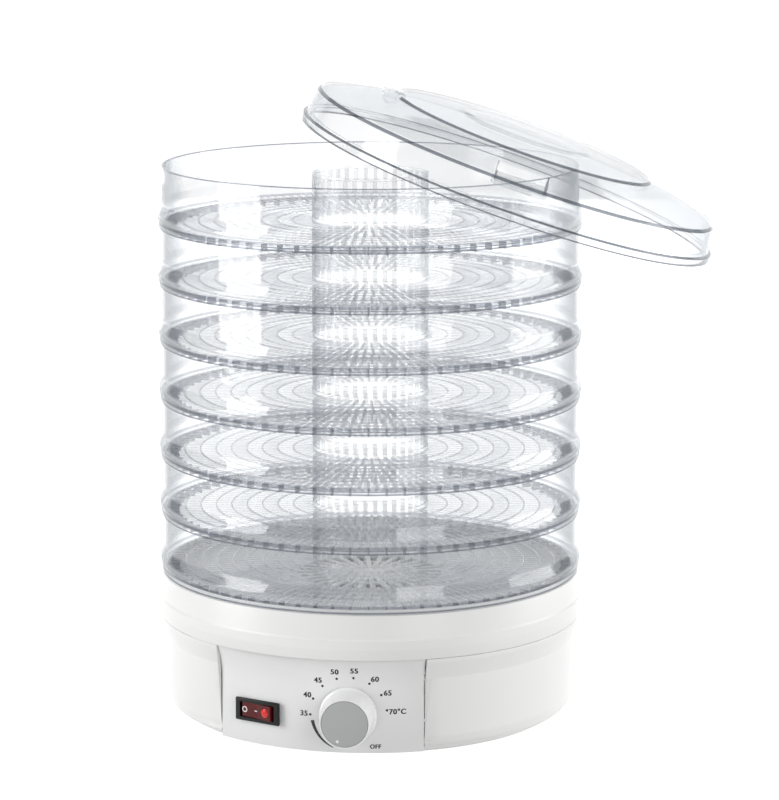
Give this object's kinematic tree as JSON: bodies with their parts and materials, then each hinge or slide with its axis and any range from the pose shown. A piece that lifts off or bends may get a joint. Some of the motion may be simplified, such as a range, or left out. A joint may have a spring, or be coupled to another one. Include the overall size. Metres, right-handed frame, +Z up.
{
  "type": "food dehydrator",
  "caption": "Round electric food dehydrator with a white fan-heater base, dial thermostat and rocker switch, stacked clear trays and a clear lid held tipped above them.",
  "frame": {"origin": "on the table, under the centre of the round base, 2.9 mm below the bottom cover's face", "axes": "+Z up along the stack's axis, -Y out of the middle of the control panel, +X to the right of someone facing the panel"},
  "size_m": [0.4259, 0.3654, 0.4905],
  "materials": {
    "white_plastic": "satin moulded white plastic",
    "clear_plastic": "clear polished plastic",
    "knob_face": "fine matt grey",
    "black_plastic": "gloss black",
    "rocker_red": "dark translucent red",
    "lamp_red": "clear red lens",
    "rubber": "matt",
    "steel": "plain",
    "duct_sheet": "plain sheet",
    "mica": "pressed mica board",
    "heating_wire": "oxidised resistance wire",
    "thermostat_body": "plain"
  },
  "bodies": {
    "base": {"lower_casing": "white_plastic", "upper_casing": "white_plastic", "control_panel": "white_plastic", "bottom_cover": "white_plastic", "foot_1": "rubber", "foot_2": "rubber", "foot_3": "rubber", "foot_4": "rubber", "cover_screw_1": "steel", "cover_screw_2": "steel", "cover_screw_3": "steel", "cover_screw_4": "steel", "cord_gland": "rubber", "terminal_block": "white_plastic", "motor_pad": "rubber", "fan_motor": "steel", "motor_screw_1": "steel", "motor_screw_2": "steel", "air_duct": "duct_sheet", "heater_frame": "mica", "heater_coil": "heating_wire", "thermal_cutout": "steel", "thermostat": "thermostat_body", "thermostat_nut": "steel", "switch_housing": "black_plastic"},
    "fan": {"fan_impeller": "black_plastic", "motor_shaft": "steel"},
    "dial": {"knob": "white_plastic", "knob_cap": "knob_face", "thermostat_shaft": "steel"},
    "rocker": {"rocker": "rocker_red", "switch_lamp": "lamp_red"},
    "tray_1": {"tray_1": "clear_plastic"},
    "tray_2": {"tray_2": "clear_plastic"},
    "tray_3": {"tray_3": "clear_plastic"},
    "tray_4": {"tray_4": "clear_plastic"},
    "tray_5": {"tray_5": "clear_plastic"},
    "tray_6": {"tray_6": "clear_plastic"},
    "tray_7": {"tray_7": "clear_plastic"},
    "lid": {"lid": "clear_plastic"}
  },
  "joints": [
    {"name": "dial_turn", "type": "hinge", "parent": "base", "child": "dial", "pos_m": [0.02575, -0.15386, 0.0345], "axis": [-0.165, 0.9863, 0], "range_deg": [-62, 241]},
    {"name": "rocker_press", "type": "hinge", "parent": "base", "child": "rocker", "pos_m": [-0.04506, -0.14831, 0.0313], "axis": [0, 0, 1], "range_deg": [0, 14]},
    {"name": "fan_spin", "type": "hinge", "parent": "base", "child": "fan", "pos_m": [0, 0, 0.05], "axis": [0, 0, 1], "continuous": true},
    {"name": "tray_1_lift", "type": "slide", "parent": "base", "child": "tray_1", "axis": [0, 0, 1], "range_m": [0, 0.06]},
    {"name": "tray_2_lift", "type": "slide", "parent": "tray_1", "child": "tray_2", "axis": [0, 0, 1], "range_m": [0, 0.06]},
    {"name": "tray_3_lift", "type": "slide", "parent": "tray_2", "child": "tray_3", "axis": [0, 0, 1], "range_m": [0, 0.06]},
    {"name": "tray_4_lift", "type": "slide", "parent": "tray_3", "child": "tray_4", "axis": [0, 0, 1], "range_m": [0, 0.06]},
    {"name": "tray_5_lift", "type": "slide", "parent": "tray_4", "child": "tray_5", "axis": [0, 0, 1], "range_m": [0, 0.06]},
    {"name": "tray_6_lift", "type": "slide", "parent": "tray_5", "child": "tray_6", "axis": [0, 0, 1], "range_m": [0, 0.06]},
    {"name": "tray_7_lift", "type": "slide", "parent": "tray_6", "child": "tray_7", "axis": [0, 0, 1], "range_m": [0, 0.06]},
    {"name": "lid_swing", "type": "hinge", "parent": "tray_7", "child": "lid", "pos_m": [0, 0, 0.1152], "axis": [-0.1736, 0.9848, 0], "range_deg": [-19.3, 0]}
  ]
}
